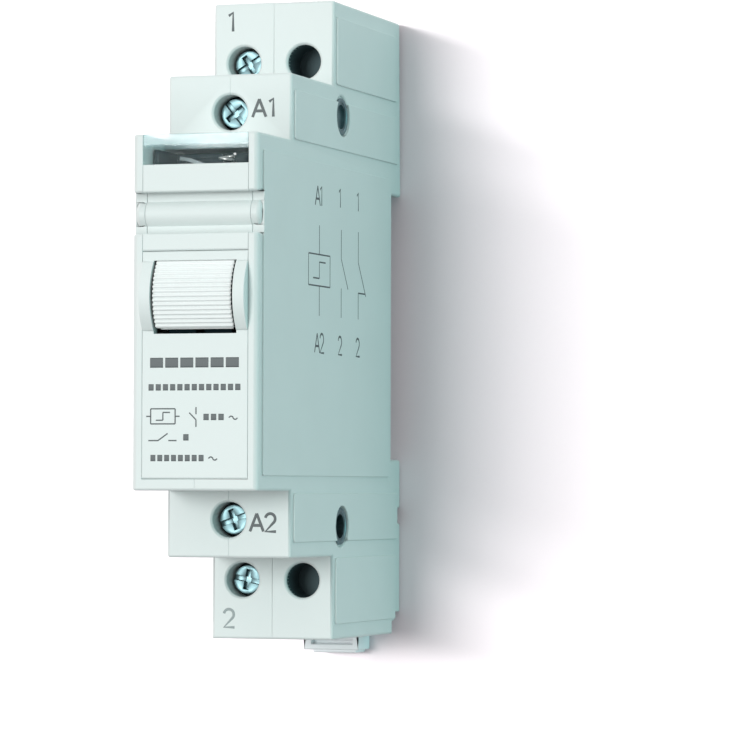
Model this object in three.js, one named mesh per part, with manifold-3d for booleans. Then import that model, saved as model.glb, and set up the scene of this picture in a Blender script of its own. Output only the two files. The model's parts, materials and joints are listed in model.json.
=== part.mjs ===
// Modular step relay for a 35 mm rail: one module wide, one contact, coil A1-A2.
//
// Units are millimetres. +X is to the right of a person facing the front, the front faces -Y and
// +Z is up the panel. The origin is the centre of the rail seat, the face that rests on the rail.

import * as THREE from 'three';
import { mergeVertices } from 'three/addons/utils/BufferGeometryUtils.js';
import loadManifold from 'manifold-3d';

const wasm = await loadManifold();
wasm.setup();

// Case: the module width, the 45 mm front section and the two lower steps of each end.
const CASE_HALF = 8.45;
const PANEL_HALF = 8.7;
const INNER_HALF = 7.1;
const WALL = 1.2;
const FRONT_Y = -54;
const COIL_FACE_Y = -41.5;
const POLE_FACE_Y = -24.8;
const BACK_Y = 4;
const BACK_TOP_Y = 3.4;
const FRONT_TOP = 22.5;
const COIL_TOP = 31.1;
const CASE_TOP = 42.3;
const CASE_BOTTOM = -42.1;
const RAIL_HALF = 18.2;
const PANEL_START = 1.5;

// Front insert parts.
const INSERT_HALF = 7.08;
const PLATE_BOTTOM = -21.05;
const PLATE_TOP = 7.65;
const LOWER_FACE_TOP = 9.9;
const HOOD_BOTTOM = 15.1;
const WINDOW_BOTTOM = 18.7;
const GROOVE_Y = -52.4;
const INSERT_BACK_Y = -51.2;

// Manual barrel.
const BARREL_Y = -48.3;
const BARREL_Z = 2.0;
const BARREL_R = 7.15;
const CHEEK_R = 7.25;
const BARREL_HALF = 5.25;
const OPENING_HALF_Z = 4.4;
const RIB_PITCH = 0.585;

// Terminals.
const HOLE_R = 2.3;
const COIL_SCREW_Z = 26.2;
const POLE_SCREW_Z = 34.3;
const POLE_X = 4.2;

// Magnet.
const CORE_Y = -11.0;
const YOKE_HALF = 5.0;
const YOKE_BACK_Y = -2.6;
const ARMATURE_Z = 3.1;
const ARMATURE_TILT = THREE.MathUtils.degToRad(10.4);
const PAWL_REACH = 17;

// Step train.
const WHEEL_Y = -24.8;
const WHEEL_Z = 0.5;
const TOOTH_R = 4.5;
const TOOTH_ROOT_R = 3.0;
const CAM_VALLEY_R = 3.0;
const CAM_LOBE_R = 4.4;
const LEVER_Y = -28.4;
const LEVER_Z = -9.0;
const CONTACT_Z = 11;

// Hollow rivets that hold the two case halves together.
const RIVET_Y = -21.6;
const RIVET_Z = 27.15;
const RIVET_R = 2.0;

// ---------------------------------------------------------------- materials

function finish(color, roughness, metalness = 0, extra = {}) {
  return new THREE.MeshStandardMaterial({ color, roughness, metalness, ...extra });
}

const casePlastic = finish(0xdfe6e3, 0.45);
const trimPlastic = finish(0xe6ece9, 0.42);
const barrelPlastic = finish(0xf2f4f2, 0.4);
const clearPlastic = finish(0xd9e4e6, 0.08, 0, { transparent: true, opacity: 0.35 });
const clipPlastic = finish(0xe9eef1, 0.5);
const darkPlastic = finish(0x23262a, 0.45);
const bobbinPlastic = finish(0x2e3135, 0.5);
const leverPlastic = finish(0x8c3a2c, 0.45);
const armPlastic = finish(0xcfc7b4, 0.5);
const steel = finish(0xb9c0c6, 0.3, 1);
const softIron = finish(0x9ea3a8, 0.42, 1);
const copper = finish(0xb4683c, 0.32, 1);
const brass = finish(0xc7a961, 0.3, 1);
const silver = finish(0xd8d8d4, 0.25, 1);

// ---------------------------------------------------------------- solids

function toSolid(geometry) {
  const bare = geometry.clone();
  bare.deleteAttribute('normal');
  bare.deleteAttribute('uv');
  const merged = mergeVertices(bare, 1e-4);
  return new wasm.Manifold(new wasm.Mesh({
    numProp: 3,
    vertProperties: Float32Array.from(merged.attributes.position.array),
    triVerts: Uint32Array.from(merged.index.array),
  }));
}

function toGeometry(solid) {
  const mesh = solid.getMesh();
  const geometry = new THREE.BufferGeometry();
  geometry.setAttribute('position', new THREE.BufferAttribute(mesh.vertProperties, 3));
  geometry.setIndex(new THREE.BufferAttribute(mesh.triVerts, 1));
  geometry.computeVertexNormals();
  return geometry;
}

const join = (first, ...others) => others.reduce((sum, next) => sum.add(next), first);
const cut = (first, ...others) => others.reduce((rest, next) => rest.subtract(next), first);

// A box between two opposite corners.
function box(x0, x1, y0, y1, z0, z1) {
  const geometry = new THREE.BoxGeometry(x1 - x0, y1 - y0, z1 - z0);
  geometry.translate((x0 + x1) / 2, (y0 + y1) / 2, (z0 + z1) / 2);
  return toSolid(geometry);
}

// The same box on both sides of the centre plane.
const boxPair = (x0, x1, ...rest) => join(box(x0, x1, ...rest), box(-x1, -x0, ...rest));

// A round bar along one axis, from start to end, through (u, v) on the other two axes.
function rodX(r, start, end, y, z, sides = 24) {
  const geometry = new THREE.CylinderGeometry(r, r, end - start, sides);
  geometry.rotateZ(-Math.PI / 2).translate((start + end) / 2, y, z);
  return toSolid(geometry);
}

function rodY(r, start, end, x, z, sides = 32, rEnd = r) {
  const geometry = new THREE.CylinderGeometry(rEnd, r, end - start, sides);
  geometry.translate(x, (start + end) / 2, z);
  return toSolid(geometry);
}

function rodZ(r, start, end, x, y, sides = 32) {
  const geometry = new THREE.CylinderGeometry(r, r, end - start, sides);
  geometry.rotateX(Math.PI / 2).translate(x, y, (start + end) / 2);
  return toSolid(geometry);
}

// A turned piece along +Y from a profile of (radius, y) points that starts and ends on the axis.
function turned(profile, sides = 32) {
  const points = profile.map(([r, y]) => new THREE.Vector2(r, y));
  return toSolid(new THREE.LatheGeometry(points, sides));
}

const rodPairX = (r, start, end, y, z, sides) => join(
  rodX(r, start, end, y, z, sides),
  rodX(r, -end, -start, y, z, sides),
);

// A side outline in (y, z), given width along X.
const ALONG_X = new THREE.Matrix4().makeBasis(
  new THREE.Vector3(0, 1, 0),
  new THREE.Vector3(0, 0, 1),
  new THREE.Vector3(1, 0, 0),
);

function plateX(points, x0, x1) {
  const shape = new THREE.Shape(points.map(([y, z]) => new THREE.Vector2(y, z)));
  const geometry = new THREE.ExtrudeGeometry(shape, { depth: x1 - x0, bevelEnabled: false });
  geometry.applyMatrix4(ALONG_X).translate(x0, 0, 0);
  return toSolid(geometry);
}

// Points on a circle arc in (y, z), from one angle to another in radians.
function arc(y, z, r, from, to, steps) {
  return Array.from({ length: steps + 1 }, (_, i) => {
    const angle = from + ((to - from) * i) / steps;
    return [y + r * Math.cos(angle), z + r * Math.sin(angle)];
  });
}

// A flat strip of even thickness that follows a line of (y, z) points.
function stripX(path, thickness, x0, x1) {
  const points = path.map(([y, z]) => new THREE.Vector2(y, z));
  const offsets = points.map((point, i) => {
    const before = points[Math.max(i - 1, 0)];
    const after = points[Math.min(i + 1, points.length - 1)];
    const into = point.clone().sub(before);
    const out = after.clone().sub(point);
    const a = into.lengthSq() ? into.normalize() : out.clone().normalize();
    const b = out.lengthSq() ? out.normalize() : a.clone();
    const bisector = a.clone().add(b).normalize();
    const reach = thickness / 2 / Math.max(bisector.dot(a), 0.3);
    return new THREE.Vector2(-bisector.y, bisector.x).multiplyScalar(reach);
  });
  const left = points.map((point, i) => point.clone().add(offsets[i]));
  const right = points.map((point, i) => point.clone().sub(offsets[i])).reverse();
  return plateX([...left, ...right].map((point) => [point.x, point.y]).reverse(), x0, x1);
}

// A round wire wound along +Z.
function coilSpring(radius, wire, height, turns) {
  class Helix extends THREE.Curve {
    getPoint(t, target = new THREE.Vector3()) {
      const angle = t * turns * Math.PI * 2;
      return target.set(radius * Math.cos(angle), radius * Math.sin(angle), t * height);
    }
  }
  const section = new THREE.Shape();
  section.absarc(0, 0, wire / 2, 0, Math.PI * 2);
  return toSolid(new THREE.ExtrudeGeometry(section, {
    steps: turns * 14,
    curveSegments: 3,
    bevelEnabled: false,
    extrudePath: new Helix(),
  }));
}

const relay = new THREE.Group();

function add(name, material, solid, parent = relay) {
  const mesh = new THREE.Mesh(toGeometry(solid), material);
  mesh.name = name;
  parent.add(mesh);
  return mesh;
}

function placedGroup(x, y, z) {
  const group = new THREE.Group();
  group.position.set(x, y, z);
  relay.add(group);
  return group;
}

// ---------------------------------------------------------------- case halves

// Side outline of the case, with the rail recess, the notch and the low step at the back.
const caseOutline = [
  [FRONT_Y, -FRONT_TOP], [COIL_FACE_Y, -FRONT_TOP], [COIL_FACE_Y, -COIL_TOP],
  [POLE_FACE_Y, -COIL_TOP], [POLE_FACE_Y, CASE_BOTTOM], [0.4, CASE_BOTTOM],
  [0.4, -40.3], [1.3, -40.3], [1.3, -39.1], [BACK_Y, -39.1],
  [BACK_Y, -26.9], [0.7, -26.9], [0.7, -24.9], [BACK_Y, -24.9],
  [BACK_Y, -RAIL_HALF], [0, -RAIL_HALF], [0, RAIL_HALF], [BACK_Y, RAIL_HALF],
  [BACK_TOP_Y, CASE_TOP], [POLE_FACE_Y, CASE_TOP], [POLE_FACE_Y, COIL_TOP],
  [COIL_FACE_Y, COIL_TOP], [COIL_FACE_Y, FRONT_TOP], [FRONT_Y, FRONT_TOP],
];

// Inner outline: one wall inside the case, with a ledge under each coil terminal.
const frontRoom = FRONT_TOP - WALL;
const coilRoom = COIL_TOP - WALL;
const clipWallY = -2.1;
const ledgeY = -37.5;
const ledgeZ = frontRoom + 1;
const roomOutline = [
  [FRONT_Y + WALL, -frontRoom], [ledgeY, -frontRoom], [ledgeY, -ledgeZ],
  [COIL_FACE_Y + WALL, -ledgeZ], [COIL_FACE_Y + WALL, -coilRoom],
  [POLE_FACE_Y + WALL, -coilRoom], [POLE_FACE_Y + WALL, CASE_BOTTOM + WALL],
  [clipWallY, CASE_BOTTOM + WALL], [clipWallY, -17], [-WALL, -17],
  [-WALL, RAIL_HALF + WALL], [BACK_TOP_Y - WALL, RAIL_HALF + WALL],
  [BACK_TOP_Y - WALL, CASE_TOP - WALL], [POLE_FACE_Y + WALL, CASE_TOP - WALL],
  [POLE_FACE_Y + WALL, coilRoom], [COIL_FACE_Y + WALL, coilRoom],
  [COIL_FACE_Y + WALL, ledgeZ], [ledgeY, ledgeZ], [ledgeY, frontRoom],
  [FRONT_Y + WALL, frontRoom],
];

// Raised panels on both sides, one for each step: [front, back, bottom, top].
const sidePanels = [
  [FRONT_Y + PANEL_START, -1.8, -20.6, 20.35],
  [COIL_FACE_Y + 0.8, 2.1, 22.6, 29.0],
  [POLE_FACE_Y + 0.8, 1.5, 31.2, 40.2],
  [COIL_FACE_Y + 0.8, 2.1, -29.1, -22.8],
  [POLE_FACE_Y + 0.8, 1.3, -40.05, -31.3],
];

function caseBody() {
  const panels = sidePanels.map(([y0, y1, z0, z1]) => box(-PANEL_HALF, PANEL_HALF, y0, y1, z0, z1));
  const shell = cut(
    join(plateX(caseOutline, -CASE_HALF, CASE_HALF), ...panels),
    plateX(roomOutline, -INNER_HALF, INNER_HALF),
  );
  // The hook that takes the upper edge of the rail.
  const hook = plateX([
    [1.3, 16.2], [2.6, 16.2], [BACK_Y, 17.6], [BACK_Y, RAIL_HALF + 0.5], [1.3, RAIL_HALF + 0.5],
  ], -5, 5);
  return join(shell, hook, caseBosses());
}

// Sleeves and bosses that stand on the inside of the side walls.
function caseBosses() {
  const wall = INNER_HALF + 0.2;
  const laneEdge = 2.4;
  const sleeves = [1, -1].flatMap((side) => [
    rodX(3.0, -wall, wall, RIVET_Y, side * RIVET_Z),
    rodY(3.0, COIL_FACE_Y + 0.2, -38.2, 0, side * COIL_SCREW_Z),
    rodY(2.9, POLE_FACE_Y + 0.2, -21.3, -POLE_X, side * POLE_SCREW_Z),
  ]);
  return join(
    rodPairX(1.6, laneEdge, wall, WHEEL_Y, WHEEL_Z),
    rodPairX(1.5, laneEdge, wall, LEVER_Y, LEVER_Z),
    rodPairX(2.7, 5.6, wall, BARREL_Y, BARREL_Z),
    boxPair(5.3, wall, -15.4, -13.6, -21.8, -21.05),
    boxPair(5.3, wall, -7.6, -3.0, -21.8, -21.05),
    boxPair(3.4, 4.6, YOKE_BACK_Y + 0.1, -WALL + 0.2, -16, -3),
    ...sleeves,
  );
}

// Round bar across the groove: its front outline, from its lower foot to its upper one.
const BAR_MIDDLE = 12.45;
const BAR_HALF = 1.55;
const BAR_CREST = 0.85;
const barRadius = (BAR_HALF ** 2 + BAR_CREST ** 2) / (2 * BAR_CREST);
const barSpread = Math.asin(BAR_HALF / barRadius);
const barFront = arc(
  GROOVE_Y - BAR_CREST + barRadius, BAR_MIDDLE, barRadius,
  Math.PI - barSpread, Math.PI + barSpread, 12,
);

// Everything that is cut out of the case.
function caseCuts() {
  const outside = CASE_HALF + 1;
  const cuts = [
    // Mouth for the front parts, open to the top for the window's lid.
    box(-INNER_HALF, INNER_HALF, FRONT_Y - 1, INSERT_BACK_Y, PLATE_BOTTOM, FRONT_TOP + 1),
    box(-INNER_HALF, INNER_HALF, FRONT_Y - 1, -46.4, 20.9, FRONT_TOP + 1),
    // The side walls carry the groove and its bar out to the sides.
    plateX([
      [FRONT_Y - 1, HOOD_BOTTOM], [GROOVE_Y, HOOD_BOTTOM], ...barFront,
      [GROOVE_Y, LOWER_FACE_TOP], [FRONT_Y - 1, LOWER_FACE_TOP],
    ], -outside, outside),
    // Wire entries of the coil terminals, in the step faces.
    box(-2.35, 2.35, -32.75, -28.15, coilRoom - 0.5, COIL_TOP + 1),
    box(-2.35, 2.35, -32.75, -28.15, -COIL_TOP - 1, -coilRoom + 0.5),
    // Wire entries of the contact terminals, in the end faces.
    box(-POLE_X - 2.4, -POLE_X + 2.4, -15.8, -11.2, 40.5, CASE_TOP + 1),
    box(-POLE_X - 2.4, -POLE_X + 2.4, -15.8, -11.2, CASE_BOTTOM - 1, -40.5),
    // T-shaped channel of the rail clip.
    box(-4.2, 4.2, -0.8, 1.4, CASE_BOTTOM - 1, -18.45),
    box(-2.9, 2.9, 1.2, BACK_Y + 1, CASE_BOTTOM - 1, -RAIL_HALF + 0.1),
    // Blind holes for the two pins and the barrel's stubs.
    rodX(0.9, -8.0, 8.0, WHEEL_Y, WHEEL_Z),
    rodX(0.85, -8.0, 8.0, LEVER_Y, LEVER_Z),
    rodX(1.65, -7.4, 7.4, BARREL_Y, BARREL_Z),
  ];
  for (const side of [1, -1]) {
    cuts.push(rodX(RIVET_R + 0.15, -outside, outside, RIVET_Y, side * RIVET_Z));
    cuts.push(rodPairX(2.7, 8.15, outside, RIVET_Y, side * RIVET_Z));
    cuts.push(screwHole(COIL_FACE_Y, 0, side * COIL_SCREW_Z, 4));
    cuts.push(screwHole(POLE_FACE_Y, -POLE_X, side * POLE_SCREW_Z, 4));
    cuts.push(screwHole(POLE_FACE_Y, POLE_X, side * POLE_SCREW_Z, 2));
  }
  return cuts;
}

// A screwdriver hole with a small lead-in.
function screwHole(faceY, x, z, depth) {
  return join(
    rodY(HOLE_R, faceY - 1, faceY + depth, x, z),
    rodY(HOLE_R + 0.5, faceY - 0.25, faceY + 0.25, x, z, 32, HOLE_R),
  );
}

const wholeCase = cut(caseBody(), ...caseCuts());

// The halves meet on the centre plane, except that the left half carries the middle of the seat.
const seatTongue = box(-0.5, 2, -WALL - 0.5, 0.5, -12, 12);
const leftSide = join(box(-10, 0, -60, 10, -45, 45), seatTongue);
const rightSide = cut(box(0, 10, -60, 10, -45, 45), seatTongue);
add('housing_left', casePlastic, wholeCase.intersect(leftSide));
add('housing_right', casePlastic, wholeCase.intersect(rightSide));

// ---------------------------------------------------------------- front parts

// The round space in which the barrel turns.
const cheekIn = BARREL_HALF + 0.3;
const barrelRoom = () => rodX(CHEEK_R, -cheekIn, cheekIn, BARREL_Y, BARREL_Z, 96);

// Hood strip, groove, round bar and lower strip in one moulding.
function frontTrim() {
  const strip = plateX([
    [INSERT_BACK_Y + 0.02, PLATE_TOP + 0.05], [INSERT_BACK_Y + 0.02, WINDOW_BOTTOM - 0.05],
    [FRONT_Y, WINDOW_BOTTOM - 0.05], [FRONT_Y, HOOD_BOTTOM], [GROOVE_Y, HOOD_BOTTOM],
    ...barFront, [GROOVE_Y, LOWER_FACE_TOP], [FRONT_Y, LOWER_FACE_TOP], [FRONT_Y, PLATE_TOP + 0.05],
  ], -INSERT_HALF, INSERT_HALF);
  return cut(strip, barrelRoom());
}

add('front_trim', trimPlastic, frontTrim());

// Clear L-shaped window: a pane, a lid and a rib down each side of the pane.
function indicatorWindow() {
  const inPane = FRONT_Y + 0.5;
  const lidBack = -46.5;
  const ribBack = -50.9;
  return join(
    box(-INSERT_HALF, INSERT_HALF, FRONT_Y, FRONT_Y + 1.0, WINDOW_BOTTOM, FRONT_TOP),
    box(-INSERT_HALF, INSERT_HALF, inPane, lidBack, FRONT_TOP - 1.4, FRONT_TOP),
    boxPair(INSERT_HALF - 1.1, INSERT_HALF, inPane, ribBack, WINDOW_BOTTOM, FRONT_TOP),
  );
}

add('indicator_window', clearPlastic, indicatorWindow());

// Dark screen round the flag, so that the window shows black behind it. The lever's arm
// comes through a slot in its back wall.
function windowMask() {
  const half = 6.95;
  const wall = 0.6;
  const front = -50.6;
  const back = -43.0;
  return cut(
    box(-half, half, front, back, 16.6, 20.8),
    box(-half + wall, half - wall, front - 1, back - wall, 16, 22),
    box(-2.6, 0.2, back - 2, back + 1, 16, 20.4),
  );
}

add('window_mask', darkPlastic, windowMask());

// Label plate with the barrel's opening and a rounded cheek on each side of it.
function labelPlate() {
  const low = BARREL_Z - OPENING_HALF_Z;
  const high = BARREL_Z + OPENING_HALF_Z;
  const cheeks = rodX(CHEEK_R, -INSERT_HALF, INSERT_HALF, BARREL_Y, BARREL_Z, 72)
    .intersect(box(-INSERT_HALF, INSERT_HALF, -60, FRONT_Y + 0.6, low, high));
  const hooks = join(
    boxPair(3.2, 4.8, FRONT_Y + 0.6, INSERT_BACK_Y + 2, -19.6, -18.6),
    boxPair(3.2, 4.8, INSERT_BACK_Y + 1.2, INSERT_BACK_Y + 2, -19.6, -18.2),
  );
  return cut(
    join(
      box(-INSERT_HALF, INSERT_HALF, FRONT_Y, FRONT_Y + WALL, PLATE_BOTTOM + 0.02, PLATE_TOP),
      cheeks,
      hooks,
    ),
    box(-cheekIn, cheekIn, -60, -50, low - 0.35, high),
    barrelRoom(),
  );
}

add('label_plate', trimPlastic, labelPlate());

// Ribbed barrel on two stubs, with a finger that reaches back to the armature.
function manualBarrel() {
  const ribDepth = 0.16;
  const ribs = Math.round((2 * Math.PI * BARREL_R) / RIB_PITCH);
  const step = (2 * Math.PI) / ribs;
  const spread = THREE.MathUtils.degToRad(104);
  const count = Math.round((2 * spread) / step);
  const ribPoints = Array.from({ length: count }, (_, i) => {
    const start = Math.PI - spread + i * step;
    return [
      [start, BARREL_R - ribDepth], [start + 0.26 * step, BARREL_R],
      [start + 0.74 * step, BARREL_R],
    ];
  }).flat();
  const outline = ribPoints.map(([angle, r]) => [r * Math.cos(angle), r * Math.sin(angle)]);
  const drum = plateX(outline, -BARREL_HALF, BARREL_HALF);
  const room = [
    [3, 5], ...arc(0, 0, BARREL_R - 1.4, Math.PI / 2, 1.5 * Math.PI, 20), [3, -5],
  ];
  const hollow = join(plateX(room, -4.2, -0.6), plateX(room, 0.6, 4.2));
  const hub = rodX(2.3, -BARREL_HALF, BARREL_HALF, 0, 0);
  const stubs = rodX(1.5, -6.9, 6.9, 0, 0);
  const rise = THREE.MathUtils.degToRad(23.5);
  const along = (r, off) => [
    r * Math.cos(rise) - off * Math.sin(rise),
    r * Math.sin(rise) + off * Math.cos(rise),
  ];
  const finger = plateX([along(0.5, 0.1), along(20.3, 0.1), along(20.3, 1.4), along(0.5, 1.9)], 3.3, 5.1);
  return join(cut(drum, hollow), hub, stubs, finger);
}

add('manual_barrel', barrelPlastic, manualBarrel()).position.set(0, BARREL_Y, BARREL_Z);

const barrelSpring = add('barrel_spring', steel, coilSpring(1.0, 0.36, 10.2, 11));
barrelSpring.position.set(2.3, -48.6, 10.0);

// ---------------------------------------------------------------- terminals

// One captive screw: combined slot and cross recess in a round head, and a plain shank.
function terminalScrew(headR, shankR, length) {
  const headDepth = 1.3;
  return cut(
    turned([
      [0, 0], [headR - 0.25, 0], [headR, 0.3], [headR, headDepth], [shankR, headDepth],
      [shankR, length - 0.3], [shankR - 0.3, length], [0, length],
    ]),
    box(-headR - 1, headR + 1, -1, 0.5, -0.36, 0.36),
    box(-0.45, 0.45, -1, 0.9, -1.45, 1.45),
    box(-1.45, 1.45, -1, 0.9, -0.45, 0.45),
  );
}

// A rising cage: the threaded wall faces the screw's head, and the wire goes through along Z.
function clampCage(half, height, frontWall, room, backWall, threadR) {
  const depth = frontWall + room + backWall;
  const side = 0.7;
  return cut(
    box(-half, half, 0, depth, -height / 2, height / 2),
    box(-half + side, half - side, frontWall, frontWall + room, -height, height),
    rodY(threadR, -1, frontWall + 0.5, 0, 0, 24),
  );
}

const terminals = [
  { name: '1', x: -POLE_X, z: POLE_SCREW_Z, head: -22.9, cage: -18.7, length: 6.0 },
  { name: '2', x: -POLE_X, z: -POLE_SCREW_Z, head: -22.9, cage: -18.7, length: 6.0 },
  { name: 'A1', x: 0, z: COIL_SCREW_Z, head: -39.6, cage: -35.5, length: 5.9 },
  { name: 'A2', x: 0, z: -COIL_SCREW_Z, head: -39.6, cage: -35.5, length: 5.9 },
];

for (const { name, x, z, head, cage, length } of terminals) {
  const screw = add(`terminal_screw_${name}`, steel, terminalScrew(2.1, 1.35, length));
  screw.position.set(x, head, z);
  screw.rotation.y = name.startsWith('A') ? 0.5 : -0.25;
  const loop = add(`clamp_cage_${name}`, steel, clampCage(2.9, 5.6, 1.4, 5.9, 1.0, 1.5));
  loop.position.set(x, cage, z);
}

// Terminal bars of the contact: a tongue in the cage, a run over the rivet, a leg at the contact.
const poleBarIn = -6.3;
const poleBarOut = -2.6;
const tongueY = -16.1;
const runZ = 22.3;

function poleBar(side, legY, legEnd) {
  const path = [
    [tongueY, side * 36.9], [tongueY, side * runZ], [legY, side * runZ], [legY, legEnd],
  ];
  return stripX(side > 0 ? path : path.slice().reverse(), 0.8, poleBarIn, poleBarOut);
}

const fixedBarY = -35.8;
const bladeY = -30.85;
add('terminal_bar_1', copper, poleBar(1, fixedBarY, 8.5));
add('terminal_bar_2', copper, poleBar(-1, bladeY + 0.9, -14.5));

// Coil bars: a tongue in the cage, then a narrow strip along the right wall to the bobbin.
function coilBar(side, bobbinZ) {
  const low = Math.min(side * 21.9, side * 22.7);
  const high = Math.max(side * 21.9, side * 22.7);
  const tongue = side > 0 ? [low, 28.7] : [-28.7, high];
  const riser = side > 0 ? [bobbinZ, high] : [low, bobbinZ];
  return join(
    box(-2.0, 2.0, -33.4, -32.6, ...tongue),
    box(-2.0, 6.9, -33.4, -32.6, low, high),
    box(5.9, 6.9, -33.4, -9.8, low, high),
    box(5.9, 6.9, -10.6, -9.8, ...riser),
  );
}

add('coil_bar_A1', brass, coilBar(1, 0.2));
add('coil_bar_A2', brass, coilBar(-1, -18.8));

// ---------------------------------------------------------------- magnet

const bobbin = placedGroup(0, CORE_Y, 0);

function coilBobbin() {
  const flange = (z0, z1) => cut(
    box(-6.4, 6.4, -6.4, 6.4, z0, z1),
    box(5.7, 7, 0.2, 1.4, z0 - 1, z1 + 1),
  );
  return cut(
    join(rodZ(3.1, -19, 1, 0, 0), flange(-19, -18), flange(0, 1)),
    rodZ(2.65, -20, 2, 0, 0),
  );
}

function coilWinding() {
  const profile = [[3.3, -17.8], [5.9, -17.8], [6.1, -17.4], [6.1, -0.6], [5.9, -0.2], [3.3, -0.2]];
  const points = [...profile, profile[0]].map(([r, z]) => new THREE.Vector2(r, z));
  const geometry = new THREE.LatheGeometry(points, 40);
  geometry.rotateX(Math.PI / 2);
  return toSolid(geometry);
}

// Round core: riveted stub below, pole head above with a slot for the shading ring.
function magnetCore() {
  return cut(
    join(rodZ(1.4, -20.8, -19, 0, 0, 24), rodZ(2.5, -19.2, 1.5, 0, 0), rodZ(4.0, 1.3, 2.8, 0, 0)),
    box(-5, 5, 0.2, 1.3, 2.0, 3.5),
  );
}

function shadingRing() {
  return cut(box(-4.7, 4.7, 0.35, 4.9, 2.15, 2.75), rodZ(4.15, 2, 3, 0, 0).intersect(
    box(-5, 5, 1.15, 5, 0, 5),
  ));
}

add('coil_bobbin', bobbinPlastic, coilBobbin(), bobbin);
add('coil_winding', copper, coilWinding(), bobbin);
add('magnet_core', softIron, magnetCore(), bobbin);
add('shading_ring', copper, shadingRing(), bobbin);

// L-shaped yoke: base under the coil, upright behind it.
function yoke() {
  const sheet = 1.6;
  const base = box(-YOKE_HALF, YOKE_HALF, -17.4, YOKE_BACK_Y, -21, -21 + sheet);
  const upright = box(-YOKE_HALF, YOKE_HALF, YOKE_BACK_Y - sheet, YOKE_BACK_Y, -21, 3);
  return cut(join(base, upright), rodZ(1.55, -22, -18, 0, CORE_Y, 24));
}

add('yoke', softIron, yoke());

// Armature, tilted open at rest on the yoke's rear edge. Its plate lies on z = 0 when closed.
const armaturePivot = placedGroup(0, YOKE_BACK_Y, ARMATURE_Z);
armaturePivot.rotation.x = -ARMATURE_TILT;

function armaturePlate() {
  return cut(
    join(
      box(-4.8, 4.8, -15.2, 0.9, 0, 1.4),
      boxPair(2.0, 2.9, -PAWL_REACH - 1, -15.4, 0, 1.4),
      boxPair(2.0, 4.8, -15.6, -15.2, 0, 1.4),
    ),
    rodX(0.45, -5, 5, -PAWL_REACH, 0.7, 16),
  );
}

// Plastic arm on the armature's right side; the barrel's finger presses on its end.
function manualArm() {
  return plateX([
    [-13.6, 1.7], [-15.8, 1.7], [-16.1, 0.3], [-28.4, 0.3], [-28.4, 1.6], [-17.2, 1.9],
    [-16.2, 2.9], [-13.6, 2.9],
  ], 3.2, 5.3);
}

add('armature', softIron, armaturePlate(), armaturePivot);
add('armature_arm', armPlastic, manualArm(), armaturePivot);
add('pawl_pin', steel, rodX(0.4, -2.95, 2.95, -PAWL_REACH, 0.7, 16), armaturePivot);

const armatureSpring = add('armature_spring', steel, coilSpring(0.9, 0.3, 4.0, 6));
armatureSpring.position.set(0, -16.2, 1.25);

// ---------------------------------------------------------------- step train

// Drive pawl, hanging from the armature's tip with its hook over a tooth.
function drivePawl() {
  const hookTop = -3.75;
  const hookFoot = -4.53;
  const outline = [
    [0.75, 0.4], [0.3, 0.85], [-0.3, 0.85], [-0.8, 0.4], [-0.85, hookTop],
    [-2.15, hookTop - 0.2], [-2.15, hookFoot + 0.15], [0.3, hookFoot], [0.6, -2.6],
  ];
  return cut(plateX(outline, 0.45, 1.85), rodX(0.5, 0, 3, 0, 0, 16));
}

const tilt = ARMATURE_TILT;
const pawlY = YOKE_BACK_Y - PAWL_REACH * Math.cos(tilt) + 0.7 * Math.sin(tilt);
const pawlZ = ARMATURE_Z + PAWL_REACH * Math.sin(tilt) + 0.7 * Math.cos(tilt);
add('drive_pawl', steel, drivePawl()).position.set(0, pawlY, pawlZ);

// Eight saw teeth: a radial face, a short root and a rising back.
function ratchetWheel() {
  const pitch = Math.PI / 4;
  const outline = Array.from({ length: 8 }, (_, i) => {
    const face = (i + 0.5) * pitch;
    const polar = (r, angle) => [r * Math.cos(angle), r * Math.sin(angle)];
    return [
      polar(TOOTH_R, face), polar(TOOTH_ROOT_R, face + 0.02),
      polar(TOOTH_ROOT_R - 0.02, face + 0.4 * pitch), polar(TOOTH_R, face + 0.93 * pitch),
    ];
  }).flat();
  return cut(
    join(plateX(outline, 0.35, 1.95), rodX(2.1, 1.2, 2.3, 0, 0)),
    rodX(0.9, -1, 3, 0, 0),
  );
}

// Four lobes: the radius rises and falls evenly, one rise for each tooth.
function contactCam() {
  const half = 8;
  const outline = Array.from({ length: 8 * half }, (_, i) => {
    const angle = (i / (8 * half)) * Math.PI * 2;
    const phase = (i / half) % 2;
    const lift = phase < 1 ? phase : 2 - phase;
    const r = CAM_VALLEY_R + (CAM_LOBE_R - CAM_VALLEY_R) * lift;
    return [r * Math.cos(angle), r * Math.sin(angle)];
  });
  return cut(
    join(plateX(outline, -2.1, -0.3), rodX(2.1, -0.8, 0.25, 0, 0)),
    rodX(0.9, -3, 3, 0, 0),
  );
}

add('ratchet_wheel', steel, ratchetWheel()).position.set(0, WHEEL_Y, WHEEL_Z);
add('contact_cam', armPlastic, contactCam()).position.set(0, WHEEL_Y, WHEEL_Z);
add('wheel_axle', steel, rodX(0.8, -7.9, 7.9, WHEEL_Y, WHEEL_Z));

// Leaf that keeps the wheel from running back.
add('ratchet_detent', steel, stripX([
  [-19.4, -16.5], [-19.8, -9], [-22.2, -4.6], [-23.8, -3.75], [-24.9, -3.55], [-25.5, -4.3],
], 0.25, 0.5, 1.7));

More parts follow.
